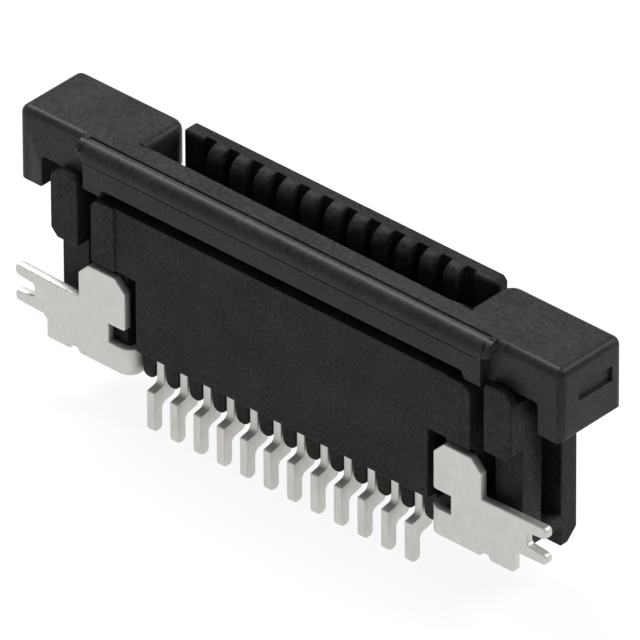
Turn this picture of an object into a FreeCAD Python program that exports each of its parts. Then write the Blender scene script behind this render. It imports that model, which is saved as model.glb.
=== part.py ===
"""Right-angle FFC/FPC connector with a pull-out slider, 12 contacts at 1 mm pitch.

Frame: X along the row of contacts, Z along the insertion direction with the cable slot on
top, and Y from the solder plane (y = 0) back into the body. The contact tails end at z = 0
and the slider is shown closed, as in the photograph. All lengths are millimetres.
"""
import FreeCAD, Part
import math
import os
from types import SimpleNamespace

import Sketcher

# Driving sizes. "front" and "back" are positions along Y, "low" and "top" along Z, and
# "half" is half a width about the middle of the row. The others are lengths, added to a
# neighbouring size below, so that a longer row or a taller body takes everything with it.
SIZES = {
    # contacts and cable
    "positions": 12,
    "pitch": 1.0,
    "contact_stock": 0.32,
    "foot_depth": 0.42,
    "foot_length": 1.50,
    "foot_round": 0.17,
    "foot_slope": 0.10,
    "tail_front": 0.48,
    "tail_depth": 0.55,
    "tail_bend": 0.22,
    "knee_low": 0.93,
    "knee_rise": 0.12,
    "base_low": 2.78,
    "base_depth": 0.78,
    "beam_depth": 0.36,
    "beam_drop": 1.45,
    "beam_lead": 0.14,
    "bump_drop": 1.40,
    "bump_length": 1.30,
    "bump_reach": 0.38,
    "anchor_rise": 0.50,
    "bend_round": 0.18,
    "cable_margin": 1.12,
    # housing
    "stand_off": 0.05,
    "relief_depth": 0.07,
    "relief_margin": 1.00,
    "panel_margin": 1.48,
    "panel_low": 2.67,
    "panel_round": 0.40,
    "body_low": 1.33,
    "body_top": 7.70,
    "body_inset": 0.24,
    "body_corner": 0.42,
    "front_wall": 0.80,
    "cavity_low": 4.20,
    "wall_margin": 1.16,
    "wall_back": 3.39,
    "wall_rise": 1.90,
    "wall_land": 0.34,
    "wall_corner": 0.15,
    "wall_recess": 0.22,
    "comb_depth": 0.94,
    "slot_side": 0.05,
    "slot_wall": 0.39,
    "finger_half": 0.27,
    "finger_front": 0.50,
    "finger_low": 1.60,
    "tail_recess": 2.30,
    "latch_width": 0.57,
    "end_wall_front": 0.60,
    "end_wall_depth": 0.88,
    "end_wall_width": 1.16,
    "groove_back": 1.60,
    "groove_low": 3.30,
    "catch_drop": 0.70,
    "catch_depth": 0.40,
    "catch_margin": 0.10,
    "channel_inset": 0.33,
    "channel_depth": 0.93,
    "channel_low": 2.50,
    "boss_drop": 2.12,
    "boss_rise": 0.45,
    "boss_corner": 0.28,
    "boss_round": 0.50,
    # solder nails
    "nail_sheet": 0.30,
    "nail_inset": 0.25,
    "nail_width": 1.99,
    "nail_top": 5.12,
    "nail_corner": 0.42,
    "nail_neck": 3.30,
    "nail_notch": 0.73,
    "nail_arm": 0.98,
    "nail_low": 1.62,
    "nail_bend": 0.18,
    "nail_blade": 2.10,
    "nail_gap": 0.05,
    "nail_recess_inset": 0.06,
    "nail_recess_depth": 0.80,
    "nail_clear": 0.20,
    "nail_round": 0.10,
    "under_nail": 2.05,
    "prong_top": 3.76,
    "prong_low": 2.44,
    "prong_rise": 0.08,
    "prong_length": 1.52,
    "prong_round": 0.15,
    "fork_depth": 0.83,
    "fork_open": 0.62,
    "fork_narrow": 0.46,
    "fork_step": 0.16,
    "step_margin": 0.17,
    "tie_mark_at": 0.19,
    "tie_mark_half": 0.22,
    "tie_mark_depth": 0.16,
    # slider
    "travel": 1.30,
    "slider_drop": 0.06,
    "bar_front": 0.12,
    "bar_back": 1.30,
    "bar_lift": 0.40,
    "bar_foot_reach": 0.38,
    "bar_foot_width": 0.83,
    "bar_foot_lift": 0.13,
    "bar_overhang": 0.30,
    "bar_shoulder": 0.69,
    "bead_end": 0.23,
    "bead_proud": 0.05,
    "bead_height": 0.68,
    "bead_back": 0.62,
    "bead_drop": 0.03,
    "bead_round": 0.45,
    "bead_line": 0.04,
    "cap_overhang": 1.72,
    "cap_gap": 0.17,
    "cap_front": 0.45,
    "cap_inset": 0.04,
    "cap_lift": 0.30,
    "cap_corner": 0.30,
    "cap_edge": 0.14,
    "cap_inner_round": 0.50,
    "lip_width": 1.00,
    "lip_drop": 0.85,
    "grip_depth": 0.12,
    "grip_front": 1.25,
    "grip_margin": 0.50,
    "grip_drop": 1.42,
    "grip_height": 0.55,
    "grip_nose": 0.27,
    "run_gap": 0.10,
    "tongue_front": 0.95,
    "tongue_gap": 0.55,
    "tongue_lift": 0.80,
    "tongue_nose": 0.45,
    "tongue_drop": 0.30,
    "leg_front": 0.80,
    "leg_length": 2.10,
    "hook_height": 0.35,
    "hook_reach": 0.30,
}


class Size:
    """A length together with the spreadsheet expression that drives it."""

    def __init__(self, value, text):
        self.value, self.text = float(value), text

    def __add__(self, other):
        return Size(self.value + number(other), "%s + (%s)" % (self.text, words(other)))

    def __sub__(self, other):
        return Size(self.value - number(other), "%s - (%s)" % (self.text, words(other)))

    def __mul__(self, factor):
        return Size(self.value * number(factor), "(%s) * (%s)" % (self.text, words(factor)))

    def __truediv__(self, factor):
        return Size(self.value / number(factor), "(%s) / (%s)" % (self.text, words(factor)))

    def __neg__(self):
        return Size(-self.value, "-(%s)" % self.text)


def number(size):
    return size.value if isinstance(size, Size) else float(size)


def words(size):
    return size.text if isinstance(size, Size) else repr(size)


doc = FreeCAD.newDocument("fpc_connector")
sheet = doc.addObject("Spreadsheet::Sheet", "Sizes")
for row, (alias, value) in enumerate(SIZES.items(), 1):
    sheet.set("A%d" % row, alias)
    sheet.set("B%d" % row, str(value))
    sheet.setAlias("B%d" % row, alias)
doc.recompute()
d = SimpleNamespace(**{alias: Size(value, "Sizes." + alias) for alias, value in SIZES.items()})

# Sizes that follow from the driving ones, first along the row.
row_half = (d.positions - 1) * d.pitch / 2
cavity_half = row_half + d.cable_margin
slot_half = d.contact_stock / 2 + d.slot_side
last_finger = row_half + d.pitch / 2 + d.finger_half
wall_half = row_half + d.wall_margin
blade_in = last_finger + d.nail_gap
nail_slot_out = last_finger + d.nail_sheet + d.nail_gap * 2
nail_recess_in = last_finger - d.nail_recess_inset
nail_in = blade_in + d.nail_inset
nail_out = nail_in + d.nail_width
panel_half = nail_in + d.panel_margin
panel_relief_half = panel_half - d.relief_margin
end_wall_in = panel_half + d.latch_width
channel_in = end_wall_in + d.channel_inset
body_half = end_wall_in + d.end_wall_width
step_out = body_half + d.step_margin
prong_reach = body_half + d.prong_length
fork_root = prong_reach - d.fork_depth
leg_in = panel_half + d.run_gap
leg_out = end_wall_in - d.run_gap
bar_foot_out = panel_half + d.bar_foot_reach
bar_foot_in = bar_foot_out - d.bar_foot_width
bar_half = bar_foot_out + d.bar_overhang
bead_half = bar_half - d.bead_end
cap_in = wall_half + d.cap_gap
cap_half = body_half + d.cap_overhang
lip_in = cap_half - d.lip_width

# From the solder plane to the back.
body_back = d.wall_back - d.body_inset
comb_front = d.wall_back - d.wall_land
teeth_front = d.wall_back - d.comb_depth
teeth_round = (comb_front - teeth_front) * 0.92
recess_front = comb_front - d.wall_recess
slot_back = d.wall_back - d.slot_wall
base_back = slot_back - d.slot_side
beam_front = base_back - d.beam_depth
tail_back = d.tail_front + d.tail_depth
channel_front = d.end_wall_front + d.end_wall_depth
channel_back = channel_front + d.channel_depth
boss_back = d.cap_front - d.run_gap
leg_back = d.groove_back - d.run_gap
cap_back = d.wall_back - d.cap_inset
grip_back = cap_back - d.grip_margin
tongue_back = teeth_front - d.tongue_gap
bead_front = d.bar_front - d.bead_proud

# Along the insertion direction.
wall_top = d.body_top + d.wall_rise
base_top = d.base_low + d.base_depth
anchor_top = base_top + d.anchor_rise
contact_slot_top = base_top + d.slot_side
beam_tip = wall_top - d.beam_drop
bump_low = d.body_top - d.bump_drop
bump_top = bump_low + d.bump_length
boss_low = d.body_top - d.boss_drop
boss_top = d.body_top + d.boss_rise
nail_plate_top = d.nail_top + d.nail_clear
slider_top = wall_top - d.slider_drop
bar_low = d.body_top + d.bar_lift
bar_foot_low = d.body_top + d.bar_foot_lift
bar_shoulder = slider_top - d.bar_shoulder
bead_low = slider_top - d.bead_height
bead_top = slider_top - d.bead_drop
cap_low = d.body_top + d.cap_lift
lip_low = d.body_top - d.lip_drop
grip_low = slider_top - d.grip_drop
grip_top = grip_low + d.grip_height
tongue_low = d.cavity_low + d.tongue_lift
tongue_lead = d.body_top - d.tongue_drop
leg_low = d.body_top - d.leg_length
catch_low = leg_low - d.catch_drop
catch_top = leg_low + d.hook_height + d.travel + d.catch_margin


def origin_plane(body, role):
    return next(f for f in body.Origin.OriginFeatures if f.Role == role)


def new_body(name):
    body = doc.addObject("PartDesign::Body", name)
    body.Label = name
    return body


def outline(body, name, plane, points, at):
    """A closed sketch whose corners sit at sheet sizes; a third value rounds that corner."""
    sketch = body.newObject("Sketcher::SketchObject", name)
    sketch.AttachmentSupport = [(origin_plane(body, plane), "")]
    sketch.MapMode = "FlatFace"
    away = -at if plane == "XZ_Plane" else at
    sketch.setExpression("AttachmentOffset.Base.z", away.text)
    count = len(points)
    spot = [FreeCAD.Vector(number(p[0]), number(p[1]), 0) for p in points]
    leave, arrive, centre = [], [], []
    for i, p in enumerate(points):
        if len(p) == 2:
            leave.append(spot[i])
            arrive.append(spot[i])
            centre.append(None)
            continue
        before = (spot[i - 1] - spot[i]).normalize()
        after = (spot[(i + 1) % count] - spot[i]).normalize()
        half = before.getAngle(after) / 2
        radius = number(p[2])
        reach = radius / math.tan(half)
        arrive.append(spot[i] + before * reach)
        leave.append(spot[i] + after * reach)
        middle = (before + after).normalize()
        centre.append(spot[i] + middle * (radius / math.sin(half)))
    lines = [sketch.addGeometry(Part.LineSegment(leave[i], arrive[(i + 1) % count]), False)
             for i in range(count)]
    rules = []

    def place(geometry, end, p):
        for kind, axis, value in (("DistanceX", -2, p[0]), ("DistanceY", -1, p[1])):
            if isinstance(value, Size):
                rule = Sketcher.Constraint(kind, -1, 1, geometry, end, value.value)
                rules.append((sketch.addConstraint(rule), value))
            else:
                sketch.addConstraint(Sketcher.Constraint("PointOnObject", geometry, end, axis))

    for i, p in enumerate(points):
        into, out = lines[i - 1], lines[i]
        if centre[i] is None:
            sketch.addConstraint(Sketcher.Constraint("Coincident", into, 2, out, 1))
            place(out, 1, p)
            continue
        start, end = arrive[i] - centre[i], leave[i] - centre[i]
        turn = start.cross(end).z > 0
        first, last = (start, end) if turn else (end, start)
        circle = Part.Circle(centre[i], FreeCAD.Vector(0, 0, 1), number(p[2]))
        span = [math.atan2(point.y, point.x) for point in (first, last)]
        arc = sketch.addGeometry(Part.ArcOfCircle(circle, span[0], span[1]), False)
        corner = sketch.addGeometry(Part.Point(spot[i]), True)
        sketch.addConstraint(Sketcher.Constraint("Tangent", into, 2, arc, 1 if turn else 2))
        sketch.addConstraint(Sketcher.Constraint("Tangent", arc, 2 if turn else 1, out, 1))
        rule = Sketcher.Constraint("Radius", arc, number(p[2]))
        rules.append((sketch.addConstraint(rule), p[2]))
        place(corner, 1, p)
        sketch.addConstraint(Sketcher.Constraint("PointOnObject", corner, 1, into))
        sketch.addConstraint(Sketcher.Constraint("PointOnObject", corner, 1, out))
    for index, value in rules:
        sketch.setExpression("Constraints[%d]" % index, value.text)
    return sketch


def extrude(kind, body, name, plane, points, start, end):
    """A pad or pocket of an outline from one position across its plane to another."""
    sketch = outline(body, name + "_outline", plane, points, start)
    before = body.Tip.Shape.Volume if body.Tip else 0
    feature = body.newObject("PartDesign::" + kind, name)
    feature.Profile = sketch
    feature.setExpression("Length", (end - start).text)
    feature.Reversed = (plane == "XZ_Plane") != (kind == "Pocket")
    doc.recompute()
    change = feature.Shape.Volume - before
    if (change > 0) != (kind == "Pad") or abs(change) < 1e-7:
        raise ValueError(name + " changes nothing or points the wrong way")
    return feature


def pad(*args):
    return extrude("Pad", *args)


def pocket(*args):
    return extrude("Pocket", *args)


def mirrored(body, name, *features):
    """The same features on the other side of the middle of the row."""
    twin = body.newObject("PartDesign::Mirrored", name)
    twin.Originals = list(features)
    twin.MirrorPlane = (origin_plane(body, "YZ_Plane"), [""])
    body.Tip = twin
    doc.recompute()
    return twin


def along_row(body, name, features, count):
    """The same features repeated at the pitch, towards +X."""
    row = body.newObject("PartDesign::LinearPattern", name)
    row.Originals = list(features)
    row.Direction = (origin_plane(body, "X_Axis"), [""])
    row.Mode = "Spacing"
    row.setExpression("Offset", d.pitch.text)
    row.setExpression("Occurrences", count.text)
    body.Tip = row
    doc.recompute()
    return row


def edges_near(shape, places):
    """Names of the edges that pass closest to the given points."""
    names = []
    for x, y, z in places:
        spot = Part.Vertex(number(x), number(y), number(z))
        gaps = [edge.distToShape(spot)[0] for edge in shape.Edges]
        names.append("Edge%d" % (gaps.index(min(gaps)) + 1))
    return names


def dress(kind, body, name, size, places, both_sides=True):
    """A chamfer or fillet on the edges through the given points, on both sides of the row."""
    if both_sides:
        places = places + [(-x, y, z) for x, y, z in places]
    base = body.Tip
    feature = body.newObject("PartDesign::" + kind, name)
    feature.Base = (base, sorted(set(edges_near(base.Shape, places))))
    feature.setExpression("Size" if kind == "Chamfer" else "Radius", size.text)
    doc.recompute()
    return feature


def both(points):
    """The right half of an outline, continued by its mirror image."""
    return points + [(-p[0],) + tuple(p[1:]) for p in reversed(points)]


def box(low, high, left, right):
    return [(left, low), (right, low), (right, high), (left, high)]


# housing
housing = new_body("housing")
pad(housing, "block", "XY_Plane", both([
    (panel_half, d.stand_off),
    (panel_half, d.end_wall_front),
    (body_half, d.end_wall_front),
    (body_half, body_back),
    (wall_half + (d.wall_back - body_back), body_back),
    (wall_half, d.wall_back)]), d.body_low, d.body_top)

# The wall behind the cable rises between the slider's caps. A comb of rounded teeth stands
# on its inner side, one between every two contacts.
pad(housing, "back_wall", "YZ_Plane", [
    (recess_front, d.body_top),
    (recess_front, wall_top, d.wall_land / 2),
    (d.wall_back, wall_top),
    (d.wall_back, d.body_top)], -wall_half, wall_half)
pad(housing, "comb", "YZ_Plane", [
    (teeth_front, d.body_top),
    (teeth_front, wall_top, teeth_round),
    (comb_front, wall_top),
    (comb_front, d.body_top)], -row_half, row_half)
dress("Chamfer", housing, "wall_ends", d.wall_corner,
      [(wall_half, (comb_front + d.wall_back) / 2, wall_top)])

# Cavity for the cable and the slider's tongue.
pocket(housing, "cavity", "XY_Plane", box(
    d.front_wall, teeth_front, -cavity_half, cavity_half), d.cavity_low, wall_top)

# The underside is cut back where the tails leave.
pocket(housing, "tail_recess", "YZ_Plane", box(
    d.body_low - d.finger_low, d.panel_low, -d.stand_off, d.tail_recess), -last_finger, last_finger)

# The middle of the front panel stands back a little from the pads at its sides.
pocket(housing, "panel_relief", "XZ_Plane", box(
    d.panel_low, d.body_top, -panel_relief_half, panel_relief_half),
    d.stand_off, d.stand_off + d.relief_depth)
dress("Fillet", housing, "panel_corners", d.panel_round,
      [(panel_half, (d.stand_off + d.end_wall_front) / 2, d.body_top)])

# Grooves beside the panel take the slider's latch legs, and hold their hooks.
groove = pocket(housing, "leg_groove", "XY_Plane", box(
    d.end_wall_front, d.groove_back, panel_half, end_wall_in), d.groove_low, d.body_top)
catch = pocket(housing, "hook_pocket", "XY_Plane", box(
    d.groove_back, d.groove_back + d.catch_depth, panel_half, end_wall_in),
    catch_low, catch_top)

# Each end has an open channel and, in front of its wall, a boss with a rounded nose.
end_channel = pocket(housing, "end_channel", "XY_Plane", box(
    channel_front, channel_front + d.channel_depth, channel_in, body_half),
    d.channel_low, d.body_top)
boss = pad(housing, "boss", "XZ_Plane", [
    (end_wall_in, boss_low),
    (body_half - d.boss_corner, boss_low),
    (body_half, boss_low + d.boss_corner),
    (body_half, boss_top, d.boss_round),
    (end_wall_in, boss_top, d.boss_round / 2)], d.stand_off, boss_back)
boss_root = pad(housing, "boss_root", "XZ_Plane", [
    (end_wall_in, boss_low),
    (body_half - d.boss_corner, boss_low),
    (body_half, boss_low + d.boss_corner),
    (body_half, d.body_top),
    (end_wall_in, d.body_top)], boss_back, d.end_wall_front)

# Recesses for the solder nails: the plate in front, the blade beside the last finger.
plate_recess = pocket(housing, "nail_recess", "XZ_Plane", box(
    d.body_low, nail_plate_top, nail_recess_in, panel_half),
    d.stand_off, d.nail_sheet + d.nail_gap)
nail_notch = pocket(housing, "nail_notch", "XZ_Plane", box(
    d.body_low, nail_plate_top, nail_recess_in, nail_in + d.nail_clear),
    d.nail_sheet + d.nail_gap, d.nail_recess_depth)
blade_slot = pocket(housing, "blade_slot", "XY_Plane", box(
    d.nail_recess_depth, d.nail_sheet + d.nail_blade + d.nail_gap, last_finger, nail_slot_out),
    d.body_low, d.nail_low + d.nail_arm + d.nail_gap)
under_nail = pocket(housing, "under_nail", "YZ_Plane", box(
    d.body_low, d.under_nail, d.nail_sheet + d.nail_gap, channel_back), nail_slot_out, body_half)
mirrored(housing, "other_end", groove, catch, end_channel, boss, boss_root,
         plate_recess, nail_notch, blade_slot, under_nail)
dress("Chamfer", housing, "lower_back", d.body_corner, [
    (body_half - d.body_corner, body_back, d.body_low),
    (wall_half + (d.wall_back - body_back) / 2, (d.wall_back + body_back) / 2, d.body_low),
    (row_half, d.wall_back, d.body_low)])

# A finger hangs down on each side of every tail.
first = row_half + d.pitch / 2
finger = pad(housing, "finger", "XZ_Plane", [
    (-first - d.finger_half, d.panel_low),
    (-first - d.finger_half, d.finger_low, d.finger_half * 0.9),
    (-first + d.finger_half, d.finger_low, d.finger_half * 0.9),
    (-first + d.finger_half, d.panel_low)], d.finger_front, d.tail_recess)
along_row(housing, "fingers", [finger], d.positions + 1)

# One channel per contact, from the tail up through the comb.
channel = pocket(housing, "contact_channel", "YZ_Plane", [
    (d.tail_front - d.slot_side, d.body_low),
    (tail_back + d.slot_side, d.body_low),
    (tail_back + d.slot_side, d.panel_low),
    (slot_back, d.panel_low),
    (slot_back, wall_top),
    (beam_front - d.bump_reach, wall_top),
    (beam_front - d.bump_reach, contact_slot_top),
    (tail_back + d.slot_side, contact_slot_top),
    (tail_back + d.slot_side, anchor_top + d.slot_side),
    (d.tail_front - d.slot_side, anchor_top + d.slot_side)],
    -row_half - slot_half, -row_half + slot_half)
along_row(housing, "contact_channels", [channel], d.positions)

# slider
slider = new_body("slider")
pad(slider, "bar", "XZ_Plane", both([
    (bar_foot_in, bar_low),
    (bar_foot_in + (bar_low - bar_foot_low) / 2, bar_foot_low),
    (bar_foot_out, bar_foot_low),
    (bar_foot_out, bar_shoulder),
    (bar_half, bar_shoulder + (bar_half - bar_foot_out) / 2),
    (bar_half, slider_top)]), d.bar_front, d.bar_back)
cap = pad(slider, "cap", "XZ_Plane", [
    (cap_in, cap_low),
    (lip_in, cap_low, d.cap_edge),
    (lip_in, lip_low),
    (cap_half - d.cap_edge, lip_low),
    (cap_half, lip_low + d.cap_edge),
    (cap_half, slider_top),
    (cap_in, slider_top)], d.cap_front, cap_back)
grip = pocket(slider, "grip", "YZ_Plane", [
    (d.grip_front, grip_low, d.grip_depth / 2),
    (grip_back, grip_low, d.grip_depth / 2),
    (grip_back, grip_top, d.grip_depth / 2),
    (d.grip_front + d.grip_nose, grip_top),
    (d.grip_front, grip_top - d.grip_nose)],
    cap_half - d.grip_depth, cap_half)
leg = pad(slider, "latch_leg", "XY_Plane", box(
    d.leg_front, leg_back, leg_in, leg_out), leg_low, cap_low)
hook = pad(slider, "hook", "YZ_Plane", [
    (leg_back, leg_low),
    (leg_back + d.hook_reach, leg_low + d.hook_height / 2),
    (leg_back + d.hook_reach, leg_low + d.hook_height),
    (leg_back, leg_low + d.hook_height)], leg_in, leg_out)
mirrored(slider, "other_end_of_slider", cap, grip, leg, hook)

# A bead runs along the front of the bar. A fine line parts it from the flat top.
pocket(slider, "bead_seat", "YZ_Plane", box(
    bead_low, slider_top, d.bar_front, d.bead_back), -bead_half, bead_half)
pad(slider, "bead", "YZ_Plane", [
    (d.bead_back, bead_low),
    (d.bar_front, bead_low),
    (bead_front, bead_low + d.bead_proud, d.bead_proud),
    (bead_front, bead_top, d.bead_round),
    (d.bead_back - d.bead_line, bead_top),
    (d.bead_back - d.bead_line, bead_top - d.bead_line),
    (d.bead_back, bead_top - d.bead_line)], -bead_half, bead_half)

# The tongue presses the cable against the contacts.
pad(slider, "tongue", "YZ_Plane", [
    (d.tongue_front, tongue_low),
    (d.bar_back, tongue_low),
    (tongue_back, tongue_low + d.tongue_nose),
    (tongue_back, tongue_lead - d.tongue_nose),
    (d.bar_back, tongue_lead),
    (d.bar_back, bar_low),
    (d.tongue_front, bar_low)], -cavity_half + d.run_gap, cavity_half - d.run_gap)
dress("Fillet", slider, "cap_inner_corners", d.cap_inner_round,
      [(cap_in, cap_back, (cap_low + slider_top) / 2)])
dress("Fillet", slider, "cap_outer_edges", d.cap_corner, [
    ((bar_half + cap_half) / 2, d.cap_front, slider_top),
    (cap_half, (d.cap_front + cap_back) / 2, slider_top),
    ((cap_in + cap_half) / 2, cap_back, slider_top),
    (cap_half, d.cap_front, cap_low),
    (cap_half, cap_back, cap_low)])

# solder nails
def solder_nail(name, side):
    """A flat plate in the solder plane, bent once into a blade that stands in the housing."""
    nail = new_body(name)

    def on_side(points):
        return [(p[0] * side,) + tuple(p[1:]) for p in points]

    fork_middle = (d.prong_top + d.prong_low + d.prong_rise) / 2
    mark = nail_out + d.tie_mark_at
    arm_out = nail_in + d.nail_notch
    pad(nail, name + "_plate", "XZ_Plane", on_side([
        (arm_out, d.nail_neck),
        (nail_in, d.nail_neck, d.nail_round),
        (nail_in, d.nail_top - d.nail_corner),
        (nail_in + d.nail_corner, d.nail_top),
        (nail_out - d.nail_corner, d.nail_top),
        (nail_out, d.nail_top - d.nail_corner),
        (nail_out, d.prong_top, d.nail_round),
        (prong_reach, d.prong_top + d.prong_rise, d.prong_round),
        (prong_reach, fork_middle + d.fork_open / 2, d.prong_round),
        (fork_root, fork_middle + d.fork_narrow / 2, d.prong_round),
        (fork_root, fork_middle - d.fork_narrow / 2, d.prong_round),
        (prong_reach, fork_middle - d.fork_open / 2, d.prong_round),
        (prong_reach, d.prong_low + d.prong_rise / 2, d.prong_round),
        (step_out + d.fork_step, d.prong_low),
        (step_out, d.prong_low - d.fork_step),
        (step_out, d.nail_low, d.nail_round),
        (mark + d.tie_mark_half, d.nail_low),
        (mark + d.tie_mark_half / 2, d.nail_low + d.tie_mark_depth),
        (mark - d.tie_mark_half / 2, d.nail_low + d.tie_mark_depth),
        (mark - d.tie_mark_half, d.nail_low),
        (arm_out, d.nail_low)]), d.pitch * 0, d.nail_sheet)
    pad(nail, name + "_blade", "XY_Plane", on_side([
        (arm_out, 0),
        (blade_in, 0, d.nail_sheet + d.nail_bend),
        (blade_in, d.nail_sheet + d.nail_blade),
        (blade_in + d.nail_sheet, d.nail_sheet + d.nail_blade),
        (blade_in + d.nail_sheet, d.nail_sheet, d.nail_bend),
        (arm_out, d.nail_sheet)]), d.nail_low, d.nail_low + d.nail_arm)
    return nail


nails = [solder_nail("solder_nail_left", -1), solder_nail("solder_nail_right", 1)]


# contacts
def contact(index):
    """A stamped contact: solder foot, tail, base, and the beam that touches the cable."""
    piece = new_body("contact_%02d" % (index + 1))
    bump_middle = (bump_low + bump_top) / 2
    pad(piece, piece.Label + "_blank", "YZ_Plane", [
        (0, 0, d.foot_round),
        (d.foot_depth, 0, d.foot_round),
        (d.foot_depth, d.knee_low, d.tail_bend),
        (tail_back, d.knee_low + d.knee_rise, d.bend_round),
        (tail_back, d.base_low),
        (base_back, d.base_low),
        (base_back, beam_tip),
        (beam_front + d.beam_lead, beam_tip),
        (beam_front, beam_tip - d.beam_lead * 2),
        (beam_front, bump_top),
        (beam_front - d.bump_reach, bump_middle, d.tail_bend),
        (beam_front, bump_low),
        (beam_front, base_top, d.tail_bend),
        (tail_back, base_top),
        (tail_back, anchor_top),
        (d.tail_front, anchor_top),
        (d.tail_front, d.foot_length + d.foot_slope, d.bend_round),
        (0, d.foot_length, d.foot_round / 3)],
        -d.contact_stock / 2, d.contact_stock / 2)
    along = -row_half + d.pitch * index
    piece.setExpression("Placement.Base.x", along.text)
    return piece


contacts = [contact(index) for index in range(int(SIZES["positions"]))]

doc.recompute()
for item in doc.Objects:
    if "Invalid" in item.State or "Error" in item.State:
        raise ValueError("%s failed: %s" % (item.Name, item.State))

os.makedirs("parts", exist_ok=True)
for piece in [housing, slider] + nails + contacts:
    shape = piece.Shape
    if shape.isNull() or not shape.isValid() or len(shape.Solids) != 1:
        raise ValueError(piece.Label + " is not one valid solid")
    shape.exportStep("parts/%s.step" % piece.Label)
    size = shape.BoundBox
    print("%-18s %8.3f mm3  %6.2f x %5.2f x %5.2f" % (
        piece.Label, shape.Volume, size.XLength, size.YLength, size.ZLength))
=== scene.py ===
# %% [markdown]
# This lesson dresses a flat-cable connector, 23 mm long, for its portrait. The construction
# is already made and arrives as a fixed frame: one mesh for each real piece, in metres.
# Blender adds what the camera is close enough to see: the tiny rounding that every moulded
# and stamped edge has, and the finish of each material.

# %% Load the frame
import math
import bmesh
import bpy
from mathutils import Matrix, Vector, kdtree
from mathutils.bvhtree import BVHTree


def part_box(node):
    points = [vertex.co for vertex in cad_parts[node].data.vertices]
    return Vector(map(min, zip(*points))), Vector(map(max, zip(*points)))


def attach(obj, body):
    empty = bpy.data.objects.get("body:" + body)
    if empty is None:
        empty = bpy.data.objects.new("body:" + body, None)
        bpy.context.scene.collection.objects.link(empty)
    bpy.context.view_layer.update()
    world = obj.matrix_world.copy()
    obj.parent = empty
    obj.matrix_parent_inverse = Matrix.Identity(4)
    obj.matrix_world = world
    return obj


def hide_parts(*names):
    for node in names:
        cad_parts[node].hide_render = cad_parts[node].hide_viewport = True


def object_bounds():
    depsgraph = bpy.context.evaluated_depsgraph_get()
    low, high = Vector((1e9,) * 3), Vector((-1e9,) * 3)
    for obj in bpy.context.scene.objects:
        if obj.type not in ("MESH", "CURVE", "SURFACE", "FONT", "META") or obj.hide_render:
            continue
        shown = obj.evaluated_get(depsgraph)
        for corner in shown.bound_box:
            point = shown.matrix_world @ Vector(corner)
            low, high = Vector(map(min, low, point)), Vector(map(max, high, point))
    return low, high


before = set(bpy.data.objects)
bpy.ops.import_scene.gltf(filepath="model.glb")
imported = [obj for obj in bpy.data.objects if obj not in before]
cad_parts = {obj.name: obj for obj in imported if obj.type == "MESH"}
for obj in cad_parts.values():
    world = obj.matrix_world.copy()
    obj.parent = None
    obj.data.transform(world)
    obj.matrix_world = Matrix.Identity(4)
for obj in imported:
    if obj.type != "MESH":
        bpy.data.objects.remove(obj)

MM = 0.001
cad_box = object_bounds()
print("pieces in the frame:", len(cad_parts), "box in mm:",
      [[round(value / MM, 2) for value in corner] for corner in cad_box])

# %% [markdown]
# The camera comes first, because every later choice is judged through it. A catalogue
# picture of a small part is taken from far away with a long lens, so parallel edges stay
# almost parallel. The lens and the distance belong together: a lens of about a metre at
# 60 cm shows 20 mm of the connector across the frame.

# %% Camera
AZIMUTH = math.radians(42.4976)
ELEVATION = math.radians(33.5382)
ROLL = math.radians(0.275)
LENS, SENSOR_WIDTH = 1069.3, 36
DISTANCE = 599.2 * MM
AIM_RIGHT, AIM_UP = 1.3360 * MM, 5.5560 * MM
NEAREST, FARTHEST = 0.01, 10

right = Vector((math.cos(AZIMUTH), math.sin(AZIMUTH), 0))
back = Vector((math.sin(AZIMUTH) * math.cos(ELEVATION),
               -math.cos(AZIMUTH) * math.cos(ELEVATION), math.sin(ELEVATION)))
up = back.cross(right)
side = right * math.cos(ROLL) - up * math.sin(ROLL)
top = right * math.sin(ROLL) + up * math.cos(ROLL)
place = right * AIM_RIGHT + up * AIM_UP + back * DISTANCE

camera = bpy.data.objects.new("camera", bpy.data.cameras.new("camera"))
bpy.context.scene.collection.objects.link(camera)
camera.data.lens = LENS
camera.data.sensor_width = SENSOR_WIDTH
camera.data.clip_start, camera.data.clip_end = NEAREST, FARTHEST
camera.matrix_world = Matrix.Translation(place) @ Matrix((side, top, back)).transposed().to_4x4()
bpy.context.scene.camera = camera
print("camera at", [round(value, 4) for value in camera.location])

# %% [markdown]
# A material is a small network of nodes. One function adds a node: it takes the node's
# kind, what goes into its sockets and its settings. A socket gets either a plain value or
# a wire from another node. Colours are written as the hex values that a colour picker
# shows, and are turned to the linear values that light is worked out in.

# %% Nodes and colours
def add(tree, kind, inputs=None, **settings):
    """Adds a node to a tree, with its settings, values and wires."""
    node = tree.nodes.new(kind)
    for name, value in settings.items():
        setattr(node, name, value)
    for socket, value in (inputs or {}).items():
        if isinstance(value, bpy.types.NodeSocket):
            tree.links.new(value, node.inputs[socket])
        else:
            node.inputs[socket].default_value = value
    return node


def colour(hex_value):
    """An sRGB hex value as linear red, green, blue and alpha."""
    channels = [int(hex_value[i:i + 2], 16) / 255 for i in (1, 3, 5)]
    return [c / 12.92 if c <= 0.04045 else ((c + 0.055) / 1.055) ** 2.4 for c in channels] + [1]


print("a picker's middle grey is", round(colour("#808080")[0], 3), "in linear light")

# %% [markdown]
# Each material starts empty, with only its output. Its patterns are placed in millimetres
# on the piece itself, so a pit or a grain keeps its real size and stays put when the
# slider moves.

# %% Empty materials in millimetres
def new_material(name):
    """An empty material with its output, ready for nodes."""
    material = bpy.data.materials.new(name)
    material.use_nodes = True
    tree = material.node_tree
    tree.nodes.clear()
    return material, tree, add(tree, "ShaderNodeOutputMaterial")


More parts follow.
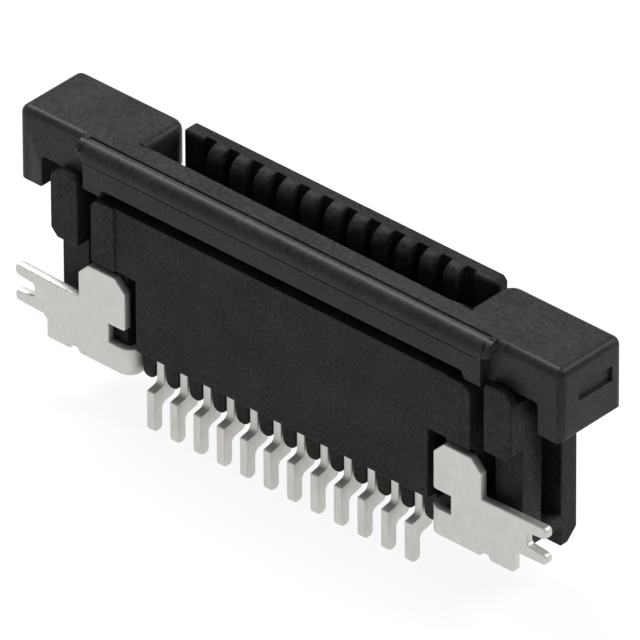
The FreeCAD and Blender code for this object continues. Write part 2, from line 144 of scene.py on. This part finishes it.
def millimetres(tree):
    """Object coordinates counted in millimetres."""
    place = add(tree, "ShaderNodeTexCoord")
    return add(tree, "ShaderNodeVectorMath", {0: place.outputs["Object"], "Scale": 1 / MM},
               operation="SCALE").outputs[0]


print("one unit of a pattern is", MM, "m")

# %% [markdown]
# Both mouldings are glass-filled nylon, coloured black. The black isn't even: the resin
# clouds a little, and short glass fibres near the surface show as faint pale flecks. A
# fibre is about 0.01 mm thick, too fine for this view, so a fleck is drawn three and a half
# times as coarse. The clouds and the pits of the skin blend two shades of black.

# %% Cloudy black with flecks
CLOUDS_PER_MM = 0.55
MOTTLE_SPREAD = 0.25
FLECK_SPACING = 0.30
FLECK_SIZE = 0.035
FLECK_STRENGTH = 0.35
FLECK_COLOUR = "#57534e"


def speckled_black(tree, place, pits, shade, worn_shade):
    """A wire with the colour of black nylon, between two shades and with pale flecks."""
    clouds = add(tree, "ShaderNodeTexNoise",
                 {"Vector": place, "Scale": CLOUDS_PER_MM, "Detail": 4.0})
    mottle = add(tree, "ShaderNodeMath", {0: clouds.outputs["Fac"], 1: pits.outputs["Fac"]},
                 operation="ADD")
    tone = add(tree, "ShaderNodeMapRange",
               {"Value": mottle.outputs["Value"], "From Min": 1 - MOTTLE_SPREAD,
                "From Max": 1 + MOTTLE_SPREAD})
    base = add(tree, "ShaderNodeMix",
               {"Factor": tone.outputs["Result"], "A": colour(shade), "B": colour(worn_shade)},
               data_type="RGBA")
    flecks = add(tree, "ShaderNodeTexVoronoi",
                 {"Vector": place, "Scale": 1 / FLECK_SPACING, "Randomness": 1.0})
    fleck = add(tree, "ShaderNodeMapRange",
                {"Value": flecks.outputs["Distance"], "From Min": FLECK_SIZE / FLECK_SPACING,
                 "From Max": 0.5 * FLECK_SIZE / FLECK_SPACING, "To Min": 0.0,
                 "To Max": FLECK_STRENGTH})
    speckled = add(tree, "ShaderNodeMix",
                   {"Factor": fleck.outputs["Result"], "A": base.outputs["Result"],
                    "B": colour(FLECK_COLOUR)}, data_type="RGBA")
    return speckled.outputs["Result"]


print("places for a fleck in a square millimetre:", round(1 / FLECK_SPACING ** 2))

# %% [markdown]
# The mould is spark-eroded, which leaves a matt, evenly pitted skin. The real pits are too
# fine for this view and are drawn about four times as coarse. Where the skin is pitted it
# holds back the sheen, so one noise drives the bump, the roughness and the shine together.

# %% Moulded nylon
REAL_PIT_SIZE = 0.03
PIT_SIZE = 0.13
NOISE_LOW, NOISE_HIGH = 0.3, 0.7
GLEAM_LOW, GLEAM_HIGH = 0.35, 0.65
ROUGHNESS_SPREAD = 0.08
NYLON_IOR = 1.5


def moulded_nylon(name, shade, worn_shade, shine, roughness, pit_depth, pit_shade):
    """Black glass-filled nylon from a spark-eroded mould, whose pits hold back the sheen."""
    material, tree, output = new_material(name)
    place = millimetres(tree)
    pits = add(tree, "ShaderNodeTexNoise",
               {"Vector": place, "Scale": 1 / PIT_SIZE, "Detail": 3.0, "Roughness": 0.6})
    black = speckled_black(tree, place, pits, shade, worn_shade)
    sheen = add(tree, "ShaderNodeMapRange",
                {"Value": pits.outputs["Fac"], "From Min": NOISE_LOW, "From Max": NOISE_HIGH,
                 "To Min": roughness - ROUGHNESS_SPREAD, "To Max": roughness + ROUGHNESS_SPREAD})
    gleam = add(tree, "ShaderNodeMapRange",
                {"Value": pits.outputs["Fac"], "From Min": GLEAM_LOW, "From Max": GLEAM_HIGH,
                 "To Min": (1 - pit_shade) * shine, "To Max": (1 + pit_shade) * shine})
    bump = add(tree, "ShaderNodeBump",
               {"Height": pits.outputs["Fac"], "Strength": 1.0, "Distance": pit_depth * MM})
    skin = add(tree, "ShaderNodeBsdfPrincipled",
               {"Base Color": black, "Roughness": sheen.outputs["Result"],
                "Normal": bump.outputs["Normal"], "IOR": NYLON_IOR,
                "Specular IOR Level": gleam.outputs["Result"]})
    tree.links.new(skin.outputs["BSDF"], output.inputs["Surface"])
    return material


print("pits drawn", round(PIT_SIZE / REAL_PIT_SIZE, 1), "times as coarse as the real ones")

# %% [markdown]
# The slider's mould is finer than the housing's, so the slider looks a little smoother and
# greyer. Only the depth and the shade of the pits, the sheen and the shade of black differ.

# %% The two plastics
housing_nylon = moulded_nylon("moulded_nylon_housing", shade="#1c1a18", worn_shade="#2c2a28",
                              shine=0.10, roughness=0.50, pit_depth=0.018, pit_shade=0.42)
slider_nylon = moulded_nylon("moulded_nylon_slider", shade="#242221", worn_shade="#302e2d",
                             shine=0.14, roughness=0.41, pit_depth=0.005, pit_shade=0.22)
print("plastics:", housing_nylon.name, slider_nylon.name)

# %% [markdown]
# The contacts and the solder nails are stamped from phosphor bronze and plated with matt
# tin. Tin is pale and slightly warm, reflects softly, and keeps a faint grain along the
# rolled strip. Its grain is a few hundredths of a millimetre wide and is drawn at 0.06 mm.

# %% Matt tin
GRAIN_WIDTH = 0.06
GRAIN_SQUEEZE = 0.12
GRAIN_HEIGHT, GRAIN_STRENGTH = 0.004, 0.6
TARNISH_PER_MM = 1.1
SMOOTHEST, ROUGHEST = 0.50, 0.66

matt_tin, tree, output = new_material("matt_tin_plate")
place = millimetres(tree)
strip = add(tree, "ShaderNodeMapping", {"Vector": place, "Scale": (1.0, 1.0, GRAIN_SQUEEZE)})
grain = add(tree, "ShaderNodeTexNoise",
            {"Vector": strip.outputs["Vector"], "Scale": 1 / GRAIN_WIDTH, "Detail": 3.0})
tarnish = add(tree, "ShaderNodeTexNoise",
              {"Vector": place, "Scale": TARNISH_PER_MM, "Detail": 5.0})
tint = add(tree, "ShaderNodeMix",
           {"Factor": tarnish.outputs["Fac"], "A": colour("#cdcbc6"), "B": colour("#dcdad6")},
           data_type="RGBA")
gloss = add(tree, "ShaderNodeMapRange",
            {"Value": grain.outputs["Fac"], "From Min": NOISE_LOW, "From Max": NOISE_HIGH,
             "To Min": SMOOTHEST, "To Max": ROUGHEST})
bump = add(tree, "ShaderNodeBump",
           {"Height": grain.outputs["Fac"], "Strength": GRAIN_STRENGTH,
            "Distance": GRAIN_HEIGHT * MM})
plating = add(tree, "ShaderNodeBsdfPrincipled",
              {"Base Color": tint.outputs["Result"], "Metallic": 1.0,
               "Roughness": gloss.outputs["Result"], "Normal": bump.outputs["Normal"]})
tree.links.new(plating.outputs["BSDF"], output.inputs["Surface"])
print("metal:", matt_tin.name)

# %% [markdown]
# No real edge is perfectly sharp. A mould's corners are rounded by 0.03 to 0.05 mm and a
# stamped edge rolls over a little, and that rounding is what catches the light. The frame's
# meshes are loose triangles, so a copy is welded first and its flat faces are made whole.

# %% Weld a copy
WELD = 0.0005 * MM
FLAT = math.radians(0.5)


def welded(node):
    """A copy of a frame piece, whose whole flat faces share their corners."""
    shape = bmesh.new()
    shape.from_mesh(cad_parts[node].data)
    bmesh.ops.remove_doubles(shape, verts=shape.verts, dist=WELD)
    bmesh.ops.dissolve_limit(shape, angle_limit=FLAT, verts=shape.verts, edges=shape.edges)
    return shape


trial = welded("housing")
print("housing triangles:", len(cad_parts["housing"].data.polygons),
      "whole faces:", len(trial.faces))
trial.free()

# %% [markdown]
# A Bevel modifier can round all edges by one radius, but beside a fine step or groove there
# is no room for it. Clamping the whole bevel to the narrowest place would leave nothing of
# it, so each edge carries its own share of the radius: less than half of the shortest edge
# beside it that isn't a continuation of the edge itself. An edge with next to no room is
# marked sharp, and so the shading doesn't run across it.

# %% Room for a rounding
MOULDED_EDGE, NAIL_EDGE, CONTACT_EDGE = 0.05, 0.04, 0.05
SHARP = math.radians(30)
IN_LINE = 0.87
ROOM_SHARE = 0.45
LEAST_ROUND = 0.004 * MM


def room_to_round(edge, radius):
    """The share of a radius for which the edges beside an edge leave room."""
    along = (edge.verts[1].co - edge.verts[0].co).normalized()
    room = radius
    for corner in edge.verts:
        for other in corner.link_edges:
            way = other.verts[1].co - other.verts[0].co
            if abs(way.normalized().dot(along)) < IN_LINE:
                room = min(room, ROOM_SHARE * way.length)
    return room / radius


def share_out(shape, radius, crisp):
    """Gives each sharp edge its share of a radius, apart from the edges that stay crisp."""
    weight = shape.edges.layers.float.new("bevel_weight_edge")
    for edge in shape.edges:
        if edge.calc_face_angle() > SHARP:
            stays = crisp and all(crisp(corner.co / MM) for corner in edge.verts)
            room = 0 if stays else room_to_round(edge, radius)
            edge.smooth = room * radius > LEAST_ROUND
            edge[weight] = room if edge.smooth else 0


print("a moulded edge of", MOULDED_EDGE, "mm has full room beside edges of",
      round(MOULDED_EDGE / ROOM_SHARE, 2), "mm")

# %% [markdown]
# Where many edges meet, a rounding can still shoot out of the surface as a thin spike. The
# rounded mesh is therefore held against the unrounded one, and the corners with a point
# that lies too far off lose their rounding. That is repeated a few times, since leaving off
# one rounding changes its neighbours.

# %% Leave off the spikes
STRAY = 1.1
ROUNDS = 5


def leave_off_spikes(piece, surface, radius):
    """Takes the rounding off the corners where it would stick out of the surface."""
    depsgraph = bpy.context.evaluated_depsgraph_get()
    done = piece.evaluated_get(depsgraph).to_mesh()
    spikes = {vert.index for vert in done.vertices
              if surface.find_nearest(vert.co)[3] > STRAY * radius}
    beside = {index for edge in done.edges for index in edge.vertices
              if spikes & set(edge.vertices)}
    places = [done.vertices[index].co.copy() for index in beside]
    corners = kdtree.KDTree(len(piece.data.vertices))
    for vert in piece.data.vertices:
        corners.insert(vert.co, vert.index)
    corners.balance()
    plain = {corners.find(place)[1] for place in places}
    for edge in piece.data.edges:
        share = piece.data.attributes["bevel_weight_edge"].data[edge.index]
        if share.value > 0 and plain & set(edge.vertices):
            share.value = 0
            edge.use_edge_sharp = True
    piece.data.update()
    return len(spikes)


print("a point is a spike beyond", STRAY, "times the radius, in up to", ROUNDS, "rounds")

# %% [markdown]
# Now the steps come together. The modifiers round the edges, join the corners that end up
# almost in one point, and keep the flat faces looking flat. The result is baked, so that
# the piece is a plain mesh with its place in its vertices.

# %% Rounded copies of the frame's pieces
CORNER_WELD = 0.002 * MM
ROUNDING_STEPS = 2
FACE_WEIGHT = 100


def bake(piece):
    """Turns an object with modifiers into a plain mesh object of the same name."""
    depsgraph = bpy.context.evaluated_depsgraph_get()
    mesh = bpy.data.meshes.new_from_object(piece.evaluated_get(depsgraph))
    mesh.name = piece.name
    old = piece.data
    piece.modifiers.clear()
    piece.data = mesh
    bpy.data.meshes.remove(old)
    return piece


def rounded_copy(node, name, radius, material, cutter=None, crisp=None):
    """A welded copy of a frame piece whose sharp edges are rounded by a radius in mm. It is
    cut where a cutter is given, and a place that crisp says yes to keeps its edges."""
    shape = welded(node)
    share_out(shape, radius * MM, crisp)
    surface = BVHTree.FromBMesh(shape)
    mesh = bpy.data.meshes.new(name)
    shape.to_mesh(mesh)
    shape.free()
    mesh.materials.clear()
    mesh.materials.append(material)
    mesh.shade_smooth()
    piece = bpy.data.objects.new(name, mesh)
    bpy.context.scene.collection.objects.link(piece)
    if cutter:
        cut = piece.modifiers.new("carved_ends", "BOOLEAN")
        cut.object = cutter
        cut.operation = "DIFFERENCE"
        cut.solver = "EXACT"
    bevel = piece.modifiers.new("rounded_edges", "BEVEL")
    bevel.width = radius * MM
    bevel.segments = ROUNDING_STEPS
    bevel.limit_method = "WEIGHT"
    bevel.use_clamp_overlap = False
    weld = piece.modifiers.new("joined_corners", "WELD")
    weld.merge_threshold = CORNER_WELD
    normals = piece.modifiers.new("flat_faces", "WEIGHTED_NORMAL")
    normals.weight = FACE_WEIGHT
    normals.keep_sharp = True
    for _ in range(ROUNDS):
        if not leave_off_spikes(piece, surface, radius * MM):
            break
    bake(piece)
    print(name, "faces:", len(piece.data.polygons))
    return piece


# %% [markdown]
# The housing is the big moulding that everything stands in. It is one piece of plastic.

# %% Housing
housing = rounded_copy("housing", "housing_moulding", MOULDED_EDGE, housing_nylon)
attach(housing, "connector")
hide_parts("housing")

# %% [markdown]
# The slider is the lock that slides over the housing, and is one piece of plastic too. The
# rounded bead on its front runs to the very ends of the bar, where the construction still
# has its square corner. A cutter takes that corner off at both ends. Its curve is the
# bead's own, so the highlight carries on without a step. Its sizes are in millimetres.

# %% Cutter for the ends of the bead
BEAD_END, BAR_END = 8.50, 8.73
BEAD_AXIS_Y, BEAD_AXIS_Z = 0.52, 9.06
BEAD_RADIUS = 0.455
CAP_FRONT = 0.449
CUT_TOP = 9.60
CUT_ROOM = 0.05
CUT_IN, CUT_OUT = 0.01, 0.02
BEAD_STEPS = 12


def bead_outline():
    """The outline between the bead's curve and the square corner outside it."""
    last = math.acos((BEAD_AXIS_Y - CAP_FRONT) / BEAD_RADIUS)
    turns = [last * step / BEAD_STEPS for step in range(BEAD_STEPS + 1)]
    curve = [(BEAD_AXIS_Y - BEAD_RADIUS * math.cos(turn),
              BEAD_AXIS_Z + BEAD_RADIUS * math.sin(turn)) for turn in turns]
    front = BEAD_AXIS_Y - BEAD_RADIUS - CUT_ROOM
    return curve + [(CAP_FRONT, CUT_TOP), (front, CUT_TOP), (front, BEAD_AXIS_Z)]


def bead_corner():
    """The square corner outside the bead's curve, as a cutter for both ends of the bar."""
    shape = bmesh.new()
    for inner, outer in ((BEAD_END - CUT_IN, BAR_END + CUT_OUT),
                         (-BAR_END - CUT_OUT, -BEAD_END + CUT_IN)):
        ring = [shape.verts.new((inner * MM, y * MM, z * MM)) for y, z in bead_outline()]
        side = shape.faces.new(ring)
        grown = bmesh.ops.extrude_face_region(shape, geom=[side])["geom"]
        bmesh.ops.translate(shape, vec=((outer - inner) * MM, 0, 0),
                            verts=[item for item in grown if isinstance(item, bmesh.types.BMVert)])
    bmesh.ops.recalc_face_normals(shape, faces=shape.faces)
    mesh = bpy.data.meshes.new("bead_corner")
    shape.to_mesh(mesh)
    shape.free()
    corner = bpy.data.objects.new("bead_corner", mesh)
    bpy.context.scene.collection.objects.link(corner)
    return corner


corner = bead_corner()
print("cutter faces:", len(corner.data.polygons))

# %% [markdown]
# Each end face of the slider has a shallow recess. It is too shallow for a rounding, which
# would fold over itself at the rim, so the places in its box keep their crisp edges.

# %% Slider with its bead
RECESS_LOW = Vector((11.30, 1.20, 8.08))
RECESS_HIGH = Vector((11.60, 2.90, 8.71))


def in_end_recess(place):
    """Whether a place in mm is in the shallow recess of an end face."""
    outward = (abs(place.x), place.y, place.z)
    return all(low < value < high for low, value, high in zip(RECESS_LOW, outward, RECESS_HIGH))


slider = rounded_copy("slider", "slider_moulding", MOULDED_EDGE, slider_nylon,
                      cutter=corner, crisp=in_end_recess)
corner_mesh = corner.data
bpy.data.objects.remove(corner)
bpy.data.meshes.remove(corner_mesh)
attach(slider, "slider_body")
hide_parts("slider")

# %% [markdown]
# The two solder nails are flat plates of 0.3 mm sheet with a forked end.

# %% Solder nails
for end in ("left", "right"):
    nail = rounded_copy("solder_nail_" + end, "solder_nail_stamping_" + end, NAIL_EDGE, matt_tin)
    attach(nail, "connector")
    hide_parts("solder_nail_" + end)

# %% [markdown]
# The twelve contacts are the same stamping at a pitch of 1 mm, so one is rounded and a
# Geometry Nodes tree repeats it along the row. The tree's inputs are the number of
# contacts and the pitch. It ends by making the instances real and giving them their metal.

# %% Tree that repeats a stamping
row_tree = bpy.data.node_groups.new("contact_row", "GeometryNodeTree")
face = row_tree.interface
face.new_socket("Stamping", in_out="INPUT", socket_type="NodeSocketGeometry")
face.new_socket("Count", in_out="INPUT", socket_type="NodeSocketInt")
face.new_socket("Pitch", in_out="INPUT", socket_type="NodeSocketFloat")
face.new_socket("Row", in_out="OUTPUT", socket_type="NodeSocketGeometry")
given = add(row_tree, "NodeGroupInput")
step = add(row_tree, "ShaderNodeCombineXYZ", {"X": given.outputs["Pitch"]})
line = add(row_tree, "GeometryNodeMeshLine",
           {"Count": given.outputs["Count"], "Offset": step.outputs["Vector"]})
copies = add(row_tree, "GeometryNodeInstanceOnPoints",
             {"Points": line.outputs["Mesh"], "Instance": given.outputs["Stamping"]})
real = add(row_tree, "GeometryNodeRealizeInstances", {"Geometry": copies.outputs["Instances"]})
plated = add(row_tree, "GeometryNodeSetMaterial",
             {"Geometry": real.outputs["Geometry"], "Material": matt_tin})
add(row_tree, "NodeGroupOutput", {"Row": plated.outputs["Geometry"]})
print("nodes in the tree:", len(row_tree.nodes))

# %% [markdown]
# The pitch is measured on the frame, from one contact to the next. The modifier is set by
# each input's identifier, and then baked like the roundings.

# %% Row of contacts
CONTACTS = sorted(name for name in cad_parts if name.startswith("contact_"))
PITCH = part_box(CONTACTS[1])[0].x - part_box(CONTACTS[0])[0].x

stamping = rounded_copy(CONTACTS[0], "contact_stamping", CONTACT_EDGE, matt_tin)
stamping.name = "contact_row"
repeat = stamping.modifiers.new("contact_row", "NODES")
repeat.node_group = row_tree
values = {"Count": len(CONTACTS), "Pitch": PITCH}
for item in face.items_tree:
    if item.in_out == "INPUT" and item.name in values:
        repeat[item.identifier] = values[item.name]
contact_row = bake(stamping)
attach(contact_row, "connector")
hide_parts(*CONTACTS)
print("contacts:", len(CONTACTS), "pitch in mm:", round(PITCH / MM, 3),
      "faces:", len(contact_row.data.polygons))

# %% [markdown]
# The stage is a plain pale floor that glows softly, as on a light table, so the background
# is white and the connector throws only a faint shadow. A pale surround fills the shadows.

# %% Floor and surround
FLOOR_HALF = 1.5
FLOOR_PAPER, FLOOR_ROUGHNESS = "#5a5a5a", 0.9
FLOOR_GLOW = 0.90
SURROUND_GLOW = 0.38

floor_mesh = bpy.data.meshes.new("floor")
floor_mesh.from_pydata([(-FLOOR_HALF, -FLOOR_HALF, 0), (FLOOR_HALF, -FLOOR_HALF, 0),
                        (FLOOR_HALF, FLOOR_HALF, 0), (-FLOOR_HALF, FLOOR_HALF, 0)],
                       [], [(0, 1, 2, 3)])
floor = bpy.data.objects.new("floor", floor_mesh)
bpy.context.scene.collection.objects.link(floor)
paper, tree, output = new_material("floor_paper")
sheet = add(tree, "ShaderNodeBsdfPrincipled",
            {"Base Color": colour(FLOOR_PAPER), "Roughness": FLOOR_ROUGHNESS,
             "Emission Color": colour("#ffffff"), "Emission Strength": FLOOR_GLOW})
tree.links.new(sheet.outputs["BSDF"], output.inputs["Surface"])
floor_mesh.materials.append(paper)

world = bpy.data.worlds.new("surround")
bpy.context.scene.world = world
world.use_nodes = True
world.node_tree.nodes["Background"].inputs["Color"].default_value = (1, 1, 1, 1)
world.node_tree.nodes["Background"].inputs["Strength"].default_value = SURROUND_GLOW
bpy.context.scene.view_settings.view_transform = "Standard"
print("floor:", 2 * FLOOR_HALF, "m wide")

# %% [markdown]
# Two softboxes shape the black plastic, which shows little but its reflections. The key
# light stands high on the left, a little behind the connector, and draws the highlight
# along the bead. The larger back light, behind on the right, lifts the tops of the caps.

# %% Softboxes
def softbox(name, towards, distance, size, power):
    """A rectangular area light that looks at the connector from a direction."""
    lamp = bpy.data.objects.new(name, bpy.data.lights.new(name, "AREA"))
    bpy.context.scene.collection.objects.link(lamp)
    lamp.data.shape = "RECTANGLE"
    lamp.data.size, lamp.data.size_y = size
    lamp.data.energy = power
    aim = (cad_box[0] + cad_box[1]) / 2
    lamp.location = aim + Vector(towards).normalized() * distance
    lamp.rotation_euler = (aim - lamp.location).to_track_quat("-Z", "Y").to_euler()
    return lamp


key_light = softbox("key_light", towards=(-0.56, 0.18, 0.79), distance=0.35,
                    size=(0.14, 0.10), power=1.0)
back_light = softbox("back_light", towards=(0.40, 0.55, 0.75), distance=0.60,
                     size=(0.28, 0.28), power=2.1)
print("lights:", key_light.name, back_light.name)
